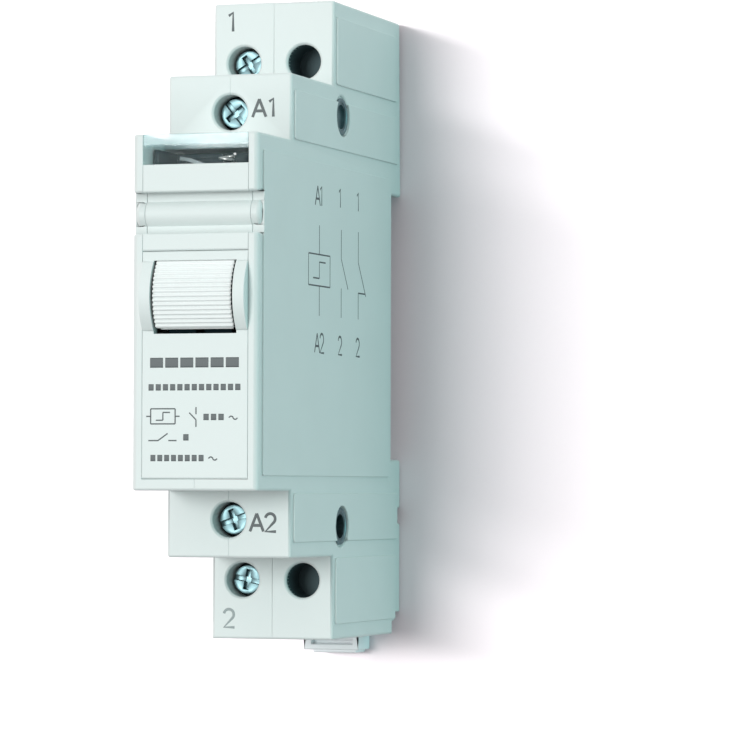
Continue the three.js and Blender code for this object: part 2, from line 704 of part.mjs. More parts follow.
// Contact lever: its nose follows the cam, its bar pushes the blade, its long arm holds the flag.
function contactLever() {
  const arm = [
    [0.2, -1.4], [1.3, -0.4], [1.1, 1.0], [-0.8, 5.5], [-0.8, 20.6],
    [-14.2, 27.2], [-14.2, 29.2], [-15.6, 29.2], [-15.6, 26.4], [-2.1, 19.6], [-2.1, 4.2],
    [-1.3, 0.4], [-1.0, -0.8],
  ];
  const noseZ = WHEEL_Z - LEVER_Z;
  const noseY = WHEEL_Y - CAM_VALLEY_R - 0.2 - 0.6 - LEVER_Y;
  const nose = join(
    rodX(0.6, -2.0, -0.4, noseY, noseZ, 20),
    box(-2.0, -0.4, -1.2, noseY, noseZ - 0.6, noseZ + 0.6),
  );
  const pushBar = box(-6.6, -0.4, -2.1, -0.8, 12.4, 13.8);
  return cut(
    join(plateX([...arm].reverse(), -2.0, -0.4), nose, pushBar),
    rodX(0.85, -3, 1, 0, 0),
  );
}

add('contact_lever', leverPlastic, contactLever()).position.set(0, LEVER_Y, LEVER_Z);
add('lever_pin', steel, rodX(0.75, -7.9, 7.9, LEVER_Y, LEVER_Z));

// The flag on the end of the long arm, with a shallow tray in its face.
const flagY = LEVER_Y - 15.6;
add('indicator_flag', darkPlastic, cut(
  box(-5.6, 0.7, flagY - 1.9, flagY - 0.05, 17.9, 20.5),
  box(-5.0, 0.1, flagY - 3, flagY - 1.5, 18.4, 20.0),
));

// Contact blade and its two contacts.
add('contact_blade', copper, box(-6.3, -2.7, bladeY - 0.15, bladeY + 0.15, -16, 13));
add('moving_contact', silver, rodY(1.6, bladeY - 0.95, bladeY - 0.15, -4.5, CONTACT_Z));
add('fixed_contact', silver, rodY(1.6, fixedBarY + 0.4, fixedBarY + 1.3, -4.5, CONTACT_Z));

// ---------------------------------------------------------------- rail clip and rivets

// Sliding clip: a flat body with two spring legs, a ridge that ends in the nose, and a pull tab.
function railClip() {
  const body = cut(
    box(-4.0, 4.0, -0.6, 1.2, -43, -18.6),
    box(-2.2, 2.2, -2, 1.3, -33, -23),
    boxPair(3.1, 5, -2, 2, -36, -27),
  );
  const ridge = cut(
    plateX([
      [1.1, -43], [3.7, -43], [3.7, -18.2], [2.3, -16.3], [1.3, -16.3], [1.3, -18.6],
      [1.1, -18.6],
    ], -2.7, 2.7),
    box(-1.2, 1.2, 0, 5, -33, -23),
  );
  const tab = cut(
    join(
      box(-4.05, 4.05, -0.6, 4.1, -44.4, -42.4),
      box(-2.9, 3.4, 0.2, 4.1, -44.8, -44.3),
    ),
    box(-2.9, 3.0, -1, 0.5, -43.6, -42),
  );
  return join(body, ridge, tab);
}

add('rail_clip', clipPlastic, railClip());

function hollowRivet(z) {
  const flange = (x0, x1) => rodX(2.5, x0, x1, RIVET_Y, z);
  return cut(
    join(rodX(RIVET_R, -8.55, 8.55, RIVET_Y, z), flange(8.2, 8.55), flange(-8.55, -8.2)),
    rodX(RIVET_R - 0.3, -9, 9, RIVET_Y, z),
  );
}

add('rivet_upper', steel, hollowRivet(RIVET_Z));
add('rivet_lower', steel, hollowRivet(-RIVET_Z));

export default relay;
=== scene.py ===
# %% [markdown]
# # A step relay for a 35 mm rail
#
# This lesson dresses a modular step relay: a light grey case in two halves, one module wide,
# with a clear window, a ribbed barrel to work it by hand, four screw terminals and a sliding
# clip. The CAD frame already holds every part at its true size and place, so nothing here is
# measured again: each piece is a rounded copy of its part, or is grown round it by a rule.

# %% The frame
import json
import math

import bmesh
import bpy
from mathutils import Matrix, Vector

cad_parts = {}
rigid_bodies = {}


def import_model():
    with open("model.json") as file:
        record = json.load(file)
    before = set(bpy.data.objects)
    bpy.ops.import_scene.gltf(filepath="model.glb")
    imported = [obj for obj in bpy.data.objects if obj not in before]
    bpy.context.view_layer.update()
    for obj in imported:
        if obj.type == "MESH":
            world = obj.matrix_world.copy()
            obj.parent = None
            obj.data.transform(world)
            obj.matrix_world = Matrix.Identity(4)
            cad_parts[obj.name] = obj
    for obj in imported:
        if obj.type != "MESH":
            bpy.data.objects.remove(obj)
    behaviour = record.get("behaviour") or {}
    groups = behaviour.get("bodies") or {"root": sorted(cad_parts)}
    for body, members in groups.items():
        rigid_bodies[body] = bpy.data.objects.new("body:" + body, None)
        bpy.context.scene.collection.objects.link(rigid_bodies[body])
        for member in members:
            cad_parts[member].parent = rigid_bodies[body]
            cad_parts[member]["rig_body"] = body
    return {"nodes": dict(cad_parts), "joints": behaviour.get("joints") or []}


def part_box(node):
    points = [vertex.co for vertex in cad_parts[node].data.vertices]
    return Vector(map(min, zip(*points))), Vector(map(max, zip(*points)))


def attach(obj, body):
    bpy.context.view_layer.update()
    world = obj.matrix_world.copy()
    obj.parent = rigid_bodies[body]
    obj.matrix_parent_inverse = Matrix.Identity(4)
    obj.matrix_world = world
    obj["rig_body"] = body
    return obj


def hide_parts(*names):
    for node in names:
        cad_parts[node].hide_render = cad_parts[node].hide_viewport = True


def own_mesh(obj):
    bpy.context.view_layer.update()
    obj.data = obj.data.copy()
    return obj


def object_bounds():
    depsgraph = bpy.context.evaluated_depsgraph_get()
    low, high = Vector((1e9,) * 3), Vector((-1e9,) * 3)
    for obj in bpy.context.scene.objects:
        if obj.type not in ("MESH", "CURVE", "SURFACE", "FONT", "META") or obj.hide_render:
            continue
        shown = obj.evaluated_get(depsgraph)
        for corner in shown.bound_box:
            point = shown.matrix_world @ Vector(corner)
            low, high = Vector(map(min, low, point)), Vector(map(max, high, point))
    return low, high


MM = 0.001
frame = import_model()
cad_low, cad_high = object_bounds()
joints = {joint["name"]: joint for joint in frame["joints"]}
print("parts:", len(frame["nodes"]), "size in mm:", [round(x / MM, 1) for x in cad_high - cad_low])

# %% [markdown]
# ## The camera
#
# A long lens from far off keeps the case's edges nearly parallel. The camera could be aimed with
# a constraint, but a turn, a tilt and a roll written as one matrix say exactly where it looks,
# and nothing can move it later.

# %% Camera
YAW, PITCH, ROLL = (math.radians(angle) for angle in (-18.33, 1.72, 0.15))
CAMERA_PLACE = Vector((0.17974, -0.52752, -0.02217))
LENS = 197.48

level = Vector((math.sin(YAW), math.cos(YAW), 0))
side = Vector((math.cos(YAW), -math.sin(YAW), 0))
up = Vector((0, 0, 1))
ahead = level * math.cos(PITCH) + up * math.sin(PITCH)
head = up * math.cos(PITCH) - level * math.sin(PITCH)
right = side * math.cos(ROLL) + head * math.sin(ROLL)
top = head * math.cos(ROLL) - side * math.sin(ROLL)

camera = bpy.data.objects.new("camera", bpy.data.cameras.new("camera"))
camera.data.lens = LENS
camera.data.clip_start, camera.data.clip_end = 0.01, 20
axes = Matrix((right, top, -ahead)).transposed().to_4x4()
camera.matrix_world = Matrix.Translation(CAMERA_PLACE) @ axes
bpy.context.scene.collection.objects.link(camera)
bpy.context.scene.camera = camera
print("camera looks along", [round(x, 3) for x in ahead])

# %% [markdown]
# ## One way to write node trees
#
# Shaders and Geometry Nodes are both graphs. Wiring them call by call hides the idea, so two
# small classes do the wiring: `Link` is an output on which sums are written as Python
# expressions, and `Nodes.add` makes any node from its type, its settings and what feeds it.

# %% Node tools
class Link:
    """An output socket. Arithmetic on it adds Math nodes to its tree."""

    def __init__(self, tree, socket):
        self.tree, self.socket = tree, socket

    def out(self, name):
        return Link(self.tree, self.socket.node.outputs[name])

    def __add__(self, other):
        return self.tree.maths("ADD", self, other)

    def __sub__(self, other):
        return self.tree.maths("SUBTRACT", self, other)

    def __rsub__(self, other):
        return self.tree.maths("SUBTRACT", other, self)

    def __mul__(self, other):
        return self.tree.maths("MULTIPLY", self, other)

    def __truediv__(self, other):
        return self.tree.maths("DIVIDE", self, other)

    __radd__, __rmul__ = __add__, __mul__


class Nodes:
    """A node tree and the one method that adds nodes to it."""

    def __init__(self, tree):
        self.tree = tree

    def add(self, kind, settings=None, feeds=None):
        node = self.tree.nodes.new(kind)
        for name, value in (settings or {}).items():
            if name == "stops":
                self.set_stops(node.color_ramp.elements, value)
            else:
                setattr(node, name, value)
        for name, value in (feeds or {}).items():
            self.feed(node.inputs[name], value)
        return Link(self, node.outputs[0]) if node.outputs else node

    def feed(self, socket, value):
        if isinstance(value, Link):
            self.tree.links.new(value.socket, socket)
        else:
            socket.default_value = value

    def set_stops(self, elements, stops):
        while len(elements) < len(stops):
            elements.new(1.0)
        for element, (place, colour) in zip(elements, stops):
            element.position, element.color = place, colour

    def maths(self, operation, *values):
        return self.add("ShaderNodeMath", {"operation": operation}, dict(enumerate(values)))


# %% [markdown]
# ## Moulded plastic
#
# The case is a glass-filled plastic with a fine spark-eroded skin: matt, with a grain of about
# a fifth of a millimetre and a faint cloudiness where the melt flowed. A painted texture would
# stretch and repeat, so the grain is noise read in the object's own space, and it drives the
# bump, a little of the colour and a little of the roughness.

# %% Plastic
def finish_tree(name, **constants):
    """A material with its tree, and its surface shader with the given constants set."""
    material = bpy.data.materials.new(name)
    material.use_nodes = True
    surface = material.node_tree.nodes["Principled BSDF"]
    for socket, value in constants.items():
        surface.inputs[socket.replace("_", " ")].default_value = value
    return material, Nodes(material.node_tree), surface


def noise(nodes, size, detail=2.0, stretch=(1, 1, 1)):
    """Noise with features of a size in metres, stretched along the object's axes."""
    place = nodes.add("ShaderNodeTexCoord").out("Object")
    scale = [axis / size for axis in stretch]
    place = nodes.add("ShaderNodeMapping", None, {"Vector": place, "Scale": scale})
    return nodes.add("ShaderNodeTexNoise", None, {"Vector": place, "Scale": 1.0, "Detail": detail})


def between(nodes, amount, low, high):
    """A colour between two, by an amount from 0 to 1."""
    ends = {0: amount, 6: (*low, 1), 7: (*high, 1)}
    return nodes.add("ShaderNodeMix", {"data_type": "RGBA"}, ends).out(2)


def shade(colour, factor):
    """A colour made lighter or darker by a factor."""
    return [min(channel * factor, 1) for channel in colour]


FLOW_SIZE = 7 * MM


def plastic(name, colour, rough, grain=0.22, depth=0.004, cloud=0.035, **constants):
    """Moulded plastic: grain and depth are the skin's texture in mm."""
    material, nodes, surface = finish_tree(name, **constants)
    flow = noise(nodes, FLOW_SIZE)
    skin = noise(nodes, grain * MM, 3)
    tone = flow * 0.75 + skin * 0.25
    colours = between(nodes, tone, shade(colour, 1 - cloud), shade(colour, 1 + cloud))
    nodes.feed(surface.inputs["Base Color"], colours)
    nodes.feed(surface.inputs["Roughness"], rough + (skin - 0.5) * 0.14 + (flow - 0.5) * 0.08)
    raised = {"Strength": 1.0, "Distance": depth * MM, "Height": skin}
    nodes.feed(surface.inputs["Normal"], nodes.add("ShaderNodeBump", None, raised))
    return material


CASE_GREY = (0.655, 0.705, 0.695)
case_skin = plastic("case_plastic", CASE_GREY, 0.5, depth=0.005)
trim_skin = plastic("trim_plastic", (0.69, 0.74, 0.73), 0.56, grain=0.3, depth=0.003)
barrel_skin = plastic("barrel_plastic", (0.80, 0.825, 0.82), 0.48, grain=0.35, depth=0.002)
# Painted light: the clip is coloured lighter than the case, which lifts it out of the shade where it
# sits.
clip_skin = plastic("clip_plastic", (0.92, 0.95, 0.97), 0.5, grain=0.3, depth=0.004)
# Black plastic: the flag's own colour, and painted shade on the window mask and the barrel's core, where
# it darkens places that are only in shade.
dark_and_painted_shade_skin = plastic(
    "dark_plastic_and_painted_shade", (0.010, 0.024, 0.030), 0.6, depth=0.002, cloud=0.3, Specular_IOR_Level=0.12
)
bobbin_skin = plastic("bobbin_plastic", (0.035, 0.038, 0.042), 0.45, cloud=0.2)
# Painted shade: the blind shafts of the unused holes are coloured nearly black, so that the holes read
# deep.
painted_shade_shaft_skin = plastic(
    "shaft_painted_shade", (0.075, 0.115, 0.125), 0.65, cloud=0.3, Specular_IOR_Level=0.2
)
lever_skin = plastic("lever_plastic", (0.36, 0.075, 0.045), 0.42, cloud=0.1)
cream_skin = plastic("cream_plastic", (0.62, 0.57, 0.46), 0.45, cloud=0.06)
print("plastics made:", len(bpy.data.materials))

# %% [markdown]
# ## Clear plastic, plated metal and ink
#
# The window is clear polycarbonate. Bent rays through so small a pane only add grain, so it is a
# shader of low, slightly uneven alpha that keeps its gloss. Its thick top edge gathers light, and
# that glow is a painted highlight: the alpha steps up just below the edge, so the pale tint shows
# there. Screws are zinc plated: a grey, slightly blue metal whose crystals and wipe marks change
# its roughness. Prints are thin ink, a touch uneven, as pad printing leaves it.

# %% Clear plastic, metals and ink
# Heights between which the window's painted highlight fades in along its thick top edge.
PAINTED_GLOW_FROM, PAINTED_GLOW_FULL = 20.9 * MM, 21.2 * MM


def clear_plastic(name):
    """Clear plastic with a faint haze, and a painted highlight above a height on the part."""
    material, nodes, surface = finish_tree(name, IOR=1.5)
    haze = noise(nodes, 1.5 * MM)
    colours = between(nodes, haze, (0.62, 0.88, 0.92), (0.78, 0.95, 0.97))
    nodes.feed(surface.inputs["Base Color"], colours)
    nodes.feed(surface.inputs["Roughness"], haze * 0.08)
    place = nodes.add("ShaderNodeTexCoord").out("Object")
    height = nodes.add("ShaderNodeSeparateXYZ", None, {0: place}).out("Z")
    rise = {"Value": height, "From Min": PAINTED_GLOW_FROM, "From Max": PAINTED_GLOW_FULL}
    painted_glow = nodes.add("ShaderNodeMapRange", None, rise)
    # Painted highlight: the alpha rises above that height, so the pale tint shows where the edge gathers
    # light.
    nodes.feed(surface.inputs["Alpha"], haze * 0.03 + painted_glow * 0.3 + 0.01)
    return material


def metal(name, colour, rough, lay=(1, 1, 1), spread=0.12, grain=0.12, **constants):
    """Metal whose plating, and marks along one axis, vary its tone and polish."""
    material, nodes, surface = finish_tree(name, Metallic=1.0, **constants)
    plating = noise(nodes, 0.9 * MM, 4)
    marks = noise(nodes, grain * MM, 2, lay)
    tone = plating * 0.6 + marks * 0.4
    colours = between(nodes, tone, shade(colour, 1 - spread), shade(colour, 1 + spread))
    nodes.feed(surface.inputs["Base Color"], colours)
    nodes.feed(surface.inputs["Roughness"], rough + (tone - 0.5) * 0.35)
    raised = {"Strength": 1.0, "Distance": 0.002 * MM, "Height": marks}
    nodes.feed(surface.inputs["Normal"], nodes.add("ShaderNodeBump", None, raised))
    return material


def ink(name, colour):
    """Printed ink that covers a little unevenly."""
    material, nodes, surface = finish_tree(name)
    cover = noise(nodes, 0.12 * MM, 3)
    colours = between(nodes, cover, shade(colour, 0.7), shade(colour, 1.3))
    nodes.feed(surface.inputs["Base Color"], colours)
    nodes.feed(surface.inputs["Roughness"], 0.35 + cover * 0.3)
    return material


window_skin = clear_plastic("clear_plastic")
zinc = metal("zinc_plate", (0.16, 0.25, 0.27), 0.4, spread=0.45, grain=0.3)
spring_steel = metal("spring_steel", (0.66, 0.66, 0.65), 0.26, lay=(1, 1, 0.2))
soft_iron = metal("soft_iron", (0.46, 0.47, 0.48), 0.4, lay=(1, 1, 0.1))
copper_strip = metal("copper_strip", (0.68, 0.31, 0.17), 0.3, lay=(1, 1, 0.1))
winding_wire = metal("winding_wire", (0.55, 0.2, 0.08), 0.25, Coat_Weight=0.8)
brass_strip = metal("brass_strip", (0.72, 0.56, 0.28), 0.28, lay=(1, 1, 0.1))
contact_silver = metal("contact_silver", (0.8, 0.79, 0.76), 0.22)
dark_ink = ink("dark_ink", (0.075, 0.09, 0.095))
pale_ink = ink("pale_ink", (0.27, 0.32, 0.32))
# A pale ink that paints a reflection on the black flag.
painted_reflection_ink = ink("painted_reflection_ink", (0.36, 0.43, 0.45))
print("finishes made:", len(bpy.data.materials))

# %% [markdown]
# ## From a faceted part to a moulded one
#
# The CAD parts are exact but razor sharp, and a real moulding never is: every edge has a small
# radius that catches the light. A copy of the part is merged, its flat faces are made whole, and
# each edge is given its own width as a bevel weight, so that one Bevel modifier rounds the lot.
# Normals weighted by area keep the flats flat. The result is baked to a plain mesh.

# %% Mesh tools
WELD = 0.002 * MM
SAME_PLANE = math.radians(0.5)


def merged(node):
    """A CAD part's copy with its loose triangles joined and its flat faces whole."""
    body = bmesh.new()
    body.from_mesh(frame["nodes"][node].data)
    bmesh.ops.remove_doubles(body, verts=body.verts, dist=WELD)
    bmesh.ops.dissolve_limit(body, angle_limit=SAME_PLANE, verts=body.verts, edges=body.edges)
    return body


def linked(name, data):
    """A new object put into the scene."""
    item = bpy.data.objects.new(name, data)
    bpy.context.scene.collection.objects.link(item)
    return item


def settled(item):
    """The object with its modifiers worked into a plain mesh."""
    graph = bpy.context.evaluated_depsgraph_get()
    worked = item.evaluated_get(graph)
    mesh = bpy.data.meshes.new_from_object(worked, preserve_all_data_layers=True, depsgraph=graph)
    mesh.name = item.name
    item.modifiers.clear()
    item.data = mesh
    return item


def is_corner(edge, least=25):
    """Whether an edge stands out and turns by more than some degrees."""
    return edge.is_manifold and edge.is_convex and edge.calc_face_angle() > math.radians(least)


def rounded(name, body, skin, width_of, segments=3):
    """A piece from a bmesh, each edge rounded by the width in mm that width_of gives."""
    widths = [width_of(edge) if is_corner(edge) else 0 for edge in body.edges]
    widest = max(widths)
    weight = body.edges.layers.float.new("bevel_weight_edge")
    for edge, width in zip(body.edges, widths):
        edge[weight] = width / widest
    mesh = bpy.data.meshes.new(name)
    body.to_mesh(mesh)
    body.free()
    mesh.shade_smooth()
    mesh.set_sharp_from_angle(angle=math.radians(40))
    mesh.materials.append(skin)
    item = linked(name, mesh)
    bevel = item.modifiers.new("rounding", "BEVEL")
    bevel.width, bevel.segments = widest * MM, segments
    bevel.limit_method, bevel.use_clamp_overlap = "WEIGHT", False
    bevel.miter_outer = "MITER_ARC"
    flats = item.modifiers.new("flats", "WEIGHTED_NORMAL")
    flats.keep_sharp, flats.weight = True, 100
    return settled(item)


def stand_for(item, node, slot):
    """The piece takes a CAD node's place, on that node's body."""
    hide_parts(node)
    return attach(item, frame["nodes"][node]["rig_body"])


# %% [markdown]
# ## The floor
#
# The relay lies on its back on a pale floor, so the floor is the plane behind it, and it is
# one-sided: from behind it lets the eye and the light through, and the back of the case stays
# in view. It also swallows half of the light it would throw back on the case's sides.

# %% Floor
FLOOR_REACH = 4.0
FLOOR_GAP = 0.1


def one_sided_floor():
    mesh = bpy.data.meshes.new("floor")
    back = cad_high.y + FLOOR_GAP * MM
    corners = [(x * FLOOR_REACH, z * FLOOR_REACH) for x, z in ((-1, -1), (1, -1), (1, 1), (-1, 1))]
    mesh.from_pydata([(x, back, z) for x, z in corners], [], [(0, 1, 2, 3)])
    material, nodes, surface = finish_tree("floor_paper", Roughness=0.9)
    fibres = noise(nodes, 0.6 * MM, 3)
    colours = between(nodes, fibres, (0.975, 0.92, 0.96), (0.995, 0.94, 0.98))
    nodes.feed(surface.inputs["Base Color"], colours)
    surface.inputs["Specular IOR Level"].default_value = 0.0
    unseen = nodes.add("ShaderNodeBsdfTransparent")
    behind = nodes.add("ShaderNodeNewGeometry").out("Backfacing")
    bounce = 1 - nodes.add("ShaderNodeLightPath").out("Is Camera Ray")
    hidden = nodes.maths("MAXIMUM", behind, bounce * 0.5)
    paper = Link(nodes, surface.outputs[0])
    whole = nodes.add("ShaderNodeMixShader", None, {0: hidden, 1: paper, 2: unseen})
    nodes.feed(material.node_tree.nodes["Material Output"].inputs["Surface"], whole)
    mesh.materials.append(material)
    item = linked("floor", mesh)
    return item


floor = one_sided_floor()
print("floor at Y in mm:", round(cad_high.y / MM + FLOOR_GAP, 2))

# %% [markdown]
# ## Light and air
#
# Case and floor have lights of their own through light linking, so the shadow is shaped without
# dimming the case. The case has a key light about twenty degrees wide. The floor has a row of
# five narrower suns, as a long strip light would give: the shadow fades slowly sideways and
# keeps its ends. The air is white to the eye, and gives the case a soft upper left side.

# %% Light
def sun(name, place, strength, width, colour, floor_only=False):
    """A soft sun shining from a place towards the origin, for the floor only or for all else."""
    lamp = bpy.data.objects.new(name, bpy.data.lights.new(name, "SUN"))
    lamp.data.energy, lamp.data.angle, lamp.data.color = strength, math.radians(width), colour
    lamp.rotation_mode = "QUATERNION"
    lamp.rotation_quaternion = Vector(place).to_track_quat("Z", "Y")
    bpy.context.scene.collection.objects.link(lamp)
    lit = bpy.data.collections.new(name + "_lit")
    lit.objects.link(floor)
    lit.collection_objects[0].light_linking.link_state = "INCLUDE" if floor_only else "EXCLUDE"
    lamp.light_linking.receiver_collection = lit
    return lamp


STRIP_SLOPES = (0.11, 0.21, 0.31, 0.43, 0.56)
STRIP_LIFT = 0.28
for number, slope in enumerate(STRIP_SLOPES):
    place = (-slope, -1, STRIP_LIFT * slope)
    sun(f"strip_{number}", place, 0.5, 7, (1, 1, 0.98), floor_only=True)
sun("key", (-0.3, -0.95, 0.08), 1.75, 21, (0.96, 1.0, 0.99))
sun("side_fill", (1, -0.1, 0.15), 1.3, 60, (0.42, 1.0, 0.97))
sun("rim", (-0.7, 0.55, 0.6), 0.4, 30, (0.95, 1.0, 1.0))


def studio_air():
    """White to the eye, and for everything else brightest from the upper left."""
    world = bpy.data.worlds.new("studio_air")
    world.use_nodes = True
    nodes = Nodes(world.node_tree)
    toward = nodes.add("ShaderNodeTexCoord").out("Generated")
    facing = {0: toward, 1: (-0.45, -0.5, 0.55)}
    lit_side = nodes.add("ShaderNodeVectorMath", {"operation": "DOT_PRODUCT"}, facing)
    amount = lit_side.out("Value") * 0.55 + 0.5
    dim, middling, bright = (0.06, 0.10, 0.105, 1), (0.27, 0.27, 0.275, 1), (0.80, 0.78, 0.78, 1)
    stops = [(0.12, dim), (0.5, middling), (0.88, bright)]
    soft = nodes.add("ShaderNodeValToRGB", {"stops": stops}, {0: amount})
    seen = nodes.add("ShaderNodeLightPath").out("Is Camera Ray")
    ends = {0: seen, 6: soft, 7: (1, 1, 1, 1)}
    colour = nodes.add("ShaderNodeMix", {"data_type": "RGBA"}, ends).out(2)
    nodes.feed(world.node_tree.nodes["Background"].inputs["Color"], colour)
    bpy.context.scene.world = world


studio_air()
bpy.context.scene.view_settings.view_transform = "Standard"
print("suns:", len(bpy.data.lights))

# %% [markdown]
# ## The case halves
#
# Two mirrored mouldings meet on the centre plane, where a hairline shows down every face. The
# long front edges have the largest radius, the outline a smaller one, and the raised side
# panels and hole rims only break the edge, as do the quarter-millimetre ledges of the low step at
# the back. A single bevel width would swallow those or leave the front sharp, so the width
# follows the edge's place.

# %% Case halves
CASE_HALF = 8.45
PANEL_HALF = cad_high.x / MM
FRONT_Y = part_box("front_trim")[0].y / MM
LOW_STEP_Y, LOW_STEP_Z = 0.3, -38
NEAR = 0.05
CASE_EDGES = {"hairline": 0.06, "panel": 0.11, "front": 0.6, "outline": 0.35, "corner": 0.3, "rim": 0.09}


def case_rounding(edge):
    """An edge's width in mm, by where the edge lies on the case."""
    a, b = (vertex.co / MM for vertex in edge.verts)
    across = min(abs(a.x), abs(b.x))
    reach = max(abs(a.x), abs(b.x))
    at_low_step = min(a.y, b.y) > LOW_STEP_Y and max(a.z, b.z) < LOW_STEP_Z
    if reach < NEAR or at_low_step:
        return CASE_EDGES["hairline"]
    if across > PANEL_HALF - NEAR:
        return CASE_EDGES["panel"]
    if across > CASE_HALF - NEAR:
        stands_up = abs(a.z - b.z) > abs(a.y - b.y)
        at_front = max(a.y, b.y) < FRONT_Y + 2
        return CASE_EDGES["front" if stands_up and at_front else "outline"]
    if reach > CASE_HALF - NEAR:
        return CASE_EDGES["corner"]
    return CASE_EDGES["rim"]


for half in ("housing_left", "housing_right"):
    moulding = rounded(half + "_moulding", merged(half), case_skin, case_rounding)
    stand_for(moulding, half, "case")
    print(moulding.name, "faces:", len(moulding.data.polygons))

# %% [markdown]
# ## The front inserts
#
# Hood strip, groove and round bar are one moulding, the label plate another, and the window is
# a clear L that slides in above them. They stay copies of their CAD parts, because they must
# keep their gaps to the case, and only their edges are eased.

# %% Front inserts
OPENING_HALF = 6
FRONT_EASING, SIDE_EASING, PANE_EASING = 0.22, 0.08, 0.15


def insert_rounding(edge):
    """An edge's width in mm: none at the barrel's opening, most along the front."""
    a, b = (vertex.co / MM for vertex in edge.verts)
    if max(abs(a.x), abs(b.x)) < OPENING_HALF:
        return 0
    runs_across = abs(a.x - b.x) > 1
    return FRONT_EASING if runs_across and max(a.y, b.y) < FRONT_Y + 0.1 else SIDE_EASING


for node in ("front_trim", "label_plate"):
    insert = rounded(node + "_moulding", merged(node), trim_skin, insert_rounding)
    stand_for(insert, node, "trim")
    print(insert.name, "faces:", len(insert.data.polygons))
pane = rounded("window_pane", merged("indicator_window"), window_skin, lambda edge: PANE_EASING)
stand_for(pane, "indicator_window", "window")

# %% [markdown]
# ## Shapes grown from rules
#
# Ribs, threads, springs and prints each follow a rule, and a rule belongs in a node tree with
# named inputs, where a size can be changed without modelling again. `Shape` writes such a tree:
# it names the inputs, offers the few steps that every tree here takes, such as sweeping a
# section along a line, and grows objects that each carry their own input values.

# %% Geometry Nodes tools
class Shape(Nodes):
    """A Geometry Nodes tree with named inputs that ends in Realize Instances and Set Material.

    A drawn shape starts from the object's own strokes; any other grows from numbers alone.
    """

    KINDS = {int: "NodeSocketInt", float: "NodeSocketFloat", tuple: "NodeSocketVector"}

    def __init__(self, name, drawn=False, **inputs):
        super().__init__(bpy.data.node_groups.new(name, "GeometryNodeTree"))
        face = self.tree.interface
        face.new_socket("Geometry", in_out="OUTPUT", socket_type="NodeSocketGeometry")
        if drawn:
            face.new_socket("Strokes", in_out="INPUT", socket_type="NodeSocketGeometry")
        self.inputs = {
            label: face.new_socket(label, in_out="INPUT", socket_type=self.KINDS[type(value)])
            for label, value in inputs.items()
        }
        for label, value in inputs.items():
            self.inputs[label].default_value = value
        self.entry = self.tree.nodes.new("NodeGroupInput")

    def given(self, label):
        return Link(self, self.entry.outputs[label])

    def vector(self, x, y, z):
        return self.add("ShaderNodeCombineXYZ", None, {0: x, 1: y, 2: z})

    def joined(self, *parts):
        union = self.tree.nodes.new("GeometryNodeJoinGeometry")
        for part in parts:
            self.tree.links.new(part.socket, union.inputs[0])
        return Link(self, union.outputs[0])

    def circle(self, steps, radius):
        sizes = {"Resolution": steps, "Radius": radius}
        return self.add("GeometryNodeCurvePrimitiveCircle", None, sizes)

    def spiral(self, steps, turns, radius, height):
        sizes = {"Resolution": steps, "Rotations": turns, "Height": height}
        ends = {"Start Radius": radius, "End Radius": radius}
        return self.add("GeometryNodeCurveSpiral", None, {**sizes, **ends})

    def swept(self, line, section, capped=False):
        curves = {"Curve": line, "Profile Curve": section, "Fill Caps": capped}
        return self.add("GeometryNodeCurveToMesh", None, curves)

    def drum(self, steps, radius, depth, ends="NGON"):
        sizes = {"Vertices": steps, "Radius": radius, "Depth": depth}
        return self.add("GeometryNodeMeshCylinder", {"fill_type": ends}, sizes)

    def sum(self, one, other):
        return self.add("ShaderNodeVectorMath", {"operation": "ADD"}, {0: one, 1: other})

    def moved(self, part, **change):
        return self.add("GeometryNodeTransform", None, {"Geometry": part, **change})

    def lifted(self, part, height):
        return self.moved(part, Translation=self.vector(0.0, 0.0, height))

    def end(self, geometry, skin):
        real = self.add("GeometryNodeRealizeInstances", None, {"Geometry": geometry})
        smooth = self.add("GeometryNodeSetShadeSmooth", None, {"Geometry": real, "Shade Smooth": True})
        painted = self.add("GeometryNodeSetMaterial", None, {"Geometry": smooth, "Material": skin})
        self.add("NodeGroupOutput", None, {"Geometry": painted})

    def grow(self, name, **values):
        """An object that carries this tree with these input values."""
        item = linked(name, bpy.data.meshes.new(name))
        modifier = item.modifiers.new("shape", "NODES")
        modifier.node_group = self.tree
        for label, value in values.items():
            modifier[self.inputs[label].identifier] = value
        return item


def sharpened(item, angle=40):
    """The grown shape as a plain mesh whose edges over an angle stay sharp."""
    settled(item)
    item.data.shade_smooth()
    item.data.set_sharp_from_angle(angle=math.radians(angle))
    return item


# %% [markdown]
# ## The ribbed barrel
#
# The user rolls this barrel to switch by hand, so it carries fine ribs across its width. Ribs
# follow a rule: the radius dips by a narrow groove at every pitch. Modelling one rib and
# arraying it would leave seams, so a grid is bent round the axis by that formula, with named
# inputs for the sizes, and the same formula rounds the ends. Solidify gives the skin its wall.
# The hub, stubs and finger are the CAD part, drawn in a little so that they lie under the skin,
# and coloured black as painted shade, so that the gap round the barrel stays dark.

# %% Barrel
barrel_axis = Vector(joints["barrel_roll"]["pos_m"])
BARREL_R = barrel_axis.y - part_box("manual_barrel")[0].y
RIB_PITCH = 0.585 * MM
RIBS = round(2 * math.pi * BARREL_R / RIB_PITCH)
RIB_DEPTH, RIB_WALL = 0.26 * MM, 1.2 * MM
RIB_LOW, RIB_HIGH = math.radians(-35.5), math.radians(102)
BARREL_HALF, CORE_HALF = 5.25, 5.15
INSET_BELOW, INSET_ABOVE = 2.6, 0.6


